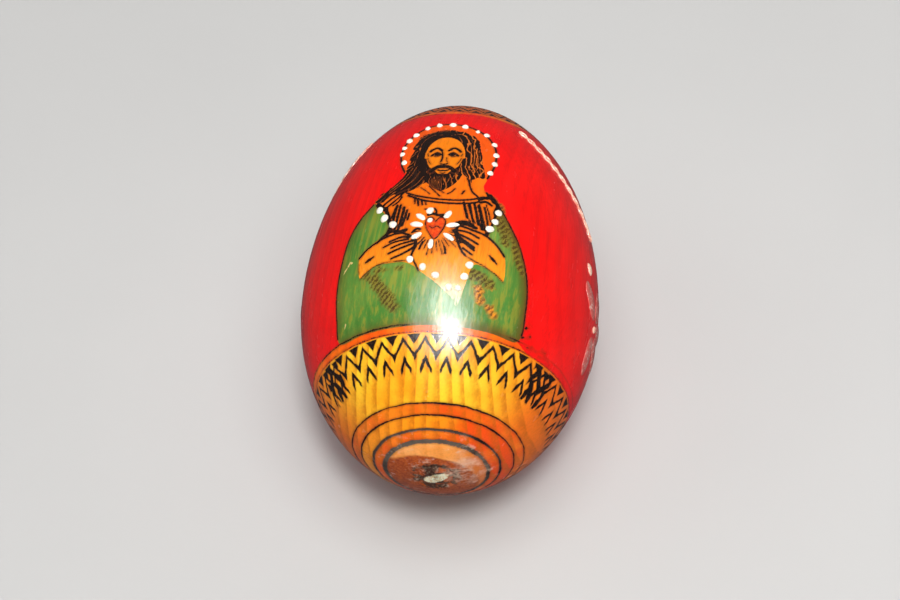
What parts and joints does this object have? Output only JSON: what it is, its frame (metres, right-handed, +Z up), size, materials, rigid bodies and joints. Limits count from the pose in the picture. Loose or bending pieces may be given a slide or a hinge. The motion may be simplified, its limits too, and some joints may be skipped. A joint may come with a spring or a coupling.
{
  "type": "painted wooden egg",
  "caption": "Lacquered turned wooden Easter egg, dyed and scorched with folk bands and a haloed figure, with raised enamel dots, rays, braids and blossoms.",
  "frame": {"origin": "under the middle of the egg's length, at the height of the surface it lies on", "axes": "+Y along the egg's own axis towards its narrower head end, +Z up through the figure's breast, +X to the figure's right in the picture"},
  "size_m": [0.0484, 0.07, 0.0483],
  "materials": {
    "wood": "gloss",
    "enamel": "gloss",
    "faded_enamel": "worn gloss"
  },
  "bodies": {
    "root": {"wooden_egg": "wood", "halo_dots": "enamel", "collar_dots_left": "enamel", "collar_dots_right": "enamel", "mantle_edge_dots": "enamel", "heart_rays": "enamel", "heart_drops": "enamel", "garland_braid_left": "enamel", "blossom_petals_left": "faded_enamel", "blossom_eye_left": "faded_enamel", "garland_braid_right": "enamel", "blossom_petals_right": "faded_enamel", "blossom_eye_right": "faded_enamel", "garland_bud_left": "enamel", "garland_bud_right": "enamel"}
  },
  "joints": []
}
